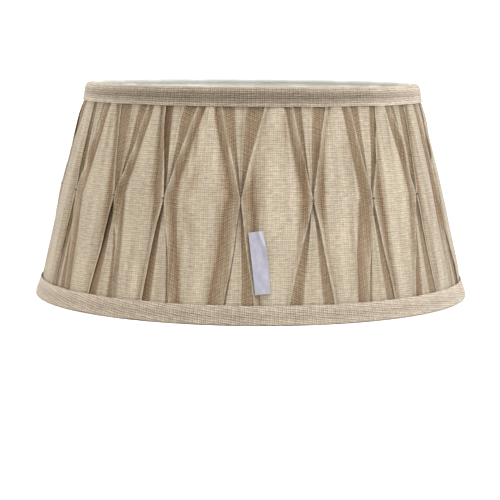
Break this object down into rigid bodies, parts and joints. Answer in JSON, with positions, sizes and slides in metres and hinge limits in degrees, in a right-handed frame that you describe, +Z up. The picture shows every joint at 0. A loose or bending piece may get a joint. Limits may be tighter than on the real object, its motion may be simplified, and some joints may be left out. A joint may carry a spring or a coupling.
{
  "type": "lamp shade",
  "caption": "Round cone-shaped table lamp shade in pinch-pleated linen over a hard liner, with taped rims, a three-arm ring set and a loose reducer ring.",
  "frame": {"origin": "centre of the bottom opening, in the plane that the bottom rim stands on", "axes": "+Z up along the shade's axis, -Y to the front, where the label is"},
  "size_m": [0.35, 0.35, 0.17],
  "materials": {
    "linen": "matte",
    "band_tape": "matte",
    "liner_sheet": "satin",
    "ring_coating": "satin",
    "reducer_plastic": "matte",
    "thread": "matte",
    "label_satin": "satin"
  },
  "bodies": {
    "root": {"bottom_band": "band_tape", "bottom_ring": "ring_coating", "fitter_ring": "ring_coating", "liner": "liner_sheet", "pinch_stitches": "thread", "pleated_cover": "linen", "spider_arm_1": "ring_coating", "spider_arm_2": "ring_coating", "spider_arm_3": "ring_coating", "top_band": "band_tape", "top_ring": "ring_coating"},
    "reducer": {"reducer_ring": "reducer_plastic"},
    "label": {"label": "label_satin"}
  },
  "joints": [
    {"name": "reducer_lift", "type": "slide", "parent": "root", "child": "reducer", "axis": [0, 0, 1], "range_m": [0, 0.06]},
    {"name": "label_flip", "type": "hinge", "parent": "root", "child": "label", "pos_m": [0.00036, -0.1643, 0.04382], "axis": [0.1179, -0.228, -0.9665], "range_deg": [0, 160]}
  ]
}
